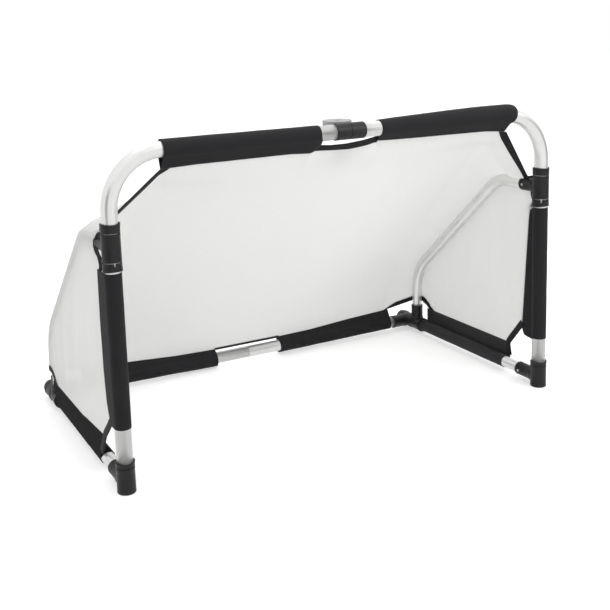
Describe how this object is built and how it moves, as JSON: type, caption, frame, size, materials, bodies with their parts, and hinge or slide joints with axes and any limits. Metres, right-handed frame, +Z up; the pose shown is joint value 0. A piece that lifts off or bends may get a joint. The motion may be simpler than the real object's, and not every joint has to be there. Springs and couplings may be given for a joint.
{
  "type": "folding soccer goal",
  "caption": "Small folding soccer goal with a hinged crossbar, swivelling side frames, a split rear bar and a fine white net held by black fabric sleeves.",
  "frame": {"origin": "on the ground, in the middle of the goal's outline", "axes": "+X along the crossbar to the right as seen from the front, +Y from the goal mouth to the rear bar, +Z up"},
  "size_m": [1.6086, 0.8852, 1.011],
  "materials": {
    "aluminium_tube": "satin",
    "black_plastic": "slight sheen",
    "hinge_disc": "pale grey satin",
    "steel_hardware": "plain",
    "black_fabric": "woven, matte",
    "black_tape": "flat webbing, matte",
    "white_net": "fine open knit"
  },
  "bodies": {
    "front_left": {"bow_tube_left": "aluminium_tube", "foot_collar_left": "black_plastic", "post_collar_lower_left": "black_plastic", "post_collar_upper_left": "black_plastic", "crossbar_sleeve_left": "black_fabric", "hinge_housing_left": "black_plastic", "hinge_bolt": "steel_hardware", "hinge_nut": "steel_hardware", "net_back_left": "white_net", "upper_hem_left": "black_tape", "hinge_hem": "black_tape", "rear_gap_hem": "black_tape"},
    "front_right": {"bow_tube_right": "aluminium_tube", "foot_collar_right": "black_plastic", "post_collar_lower_right": "black_plastic", "post_collar_upper_right": "black_plastic", "crossbar_sleeve_right": "black_fabric", "hinge_housing_right": "black_plastic", "hinge_cover": "hinge_disc", "lock_spring": "steel_hardware", "net_back_right": "white_net", "upper_hem_right": "black_tape"},
    "side_left": {"upper_tee_left": "black_plastic", "foot_tee_left": "black_plastic", "side_tube_upper_left": "aluminium_tube", "side_tube_lower_left": "aluminium_tube", "rear_corner_tee_left": "black_plastic", "rear_end_cap_left": "black_plastic", "post_sleeve_left": "black_fabric", "side_sleeve_left": "black_fabric", "net_side_left": "white_net", "lower_hem_left": "black_tape", "rear_hem_left": "black_tape", "upper_tee_rivet_left": "steel_hardware", "foot_tee_rivet_left": "steel_hardware"},
    "side_right": {"upper_tee_right": "black_plastic", "foot_tee_right": "black_plastic", "side_tube_upper_right": "aluminium_tube", "side_tube_lower_right": "aluminium_tube", "rear_corner_tee_right": "black_plastic", "rear_end_cap_right": "black_plastic", "post_sleeve_right": "black_fabric", "side_sleeve_right": "black_fabric", "net_side_right": "white_net", "lower_hem_right": "black_tape", "rear_hem_right": "black_tape", "upper_tee_rivet_right": "steel_hardware", "foot_tee_rivet_right": "steel_hardware"},
    "rear_left": {"rear_bar_tee_left": "black_plastic", "rear_tube_left": "aluminium_tube", "rear_sleeve_left": "black_fabric", "rear_ferrule": "black_plastic"},
    "rear_right": {"rear_bar_tee_right": "black_plastic", "rear_tube_right": "aluminium_tube", "rear_sleeve_right": "black_fabric"},
    "lock_button": {"lock_button": "black_plastic"}
  },
  "joints": [
    {"name": "crossbar_fold", "type": "hinge", "parent": "front_left", "child": "front_right", "pos_m": [0, -0.34655, 0.985], "axis": [0, 0, 1], "range_deg": [0, 180], "deforming": ["net_back_left", "net_back_right", "upper_hem_left", "upper_hem_right", "rear_hem_left", "rear_hem_right", "hinge_hem", "rear_gap_hem"]},
    {"name": "side_left_swivel", "type": "hinge", "parent": "front_left", "child": "side_left", "pos_m": [-0.775, -0.41355, 0.36], "axis": [0, 0, 1], "range_deg": [-90, 0]},
    {"name": "side_right_swivel", "type": "hinge", "parent": "front_right", "child": "side_right", "pos_m": [0.775, -0.41355, 0.36], "axis": [0, 0, 1], "range_deg": [-270, 0]},
    {"name": "rear_left_flip", "type": "hinge", "parent": "side_left", "child": "rear_left", "pos_m": [-0.775, 0.38645, 0.036], "axis": [0, 1, 0], "range_deg": [-90, 0]},
    {"name": "rear_right_flip", "type": "hinge", "parent": "side_right", "child": "rear_right", "pos_m": [0.775, 0.38645, 0.036], "axis": [0, 1, 0], "range_deg": [0, 90]},
    {"name": "lock_button_press", "type": "slide", "parent": "front_right", "child": "lock_button", "axis": [0, 0, -1], "range_m": [0, 0.004], "stiffness_N_per_m": 300, "springref_m": -0.001, "deforming": ["lock_spring"]}
  ],
  "couplings": [
    {"joint": "side_left_swivel", "follows": "crossbar_fold", "ratio": -0.5},
    {"joint": "side_right_swivel", "follows": "crossbar_fold", "ratio": -1.5},
    {"joint": "rear_left_flip", "follows": "crossbar_fold", "ratio": -0.5},
    {"joint": "rear_right_flip", "follows": "crossbar_fold", "ratio": 0.5}
  ]
}
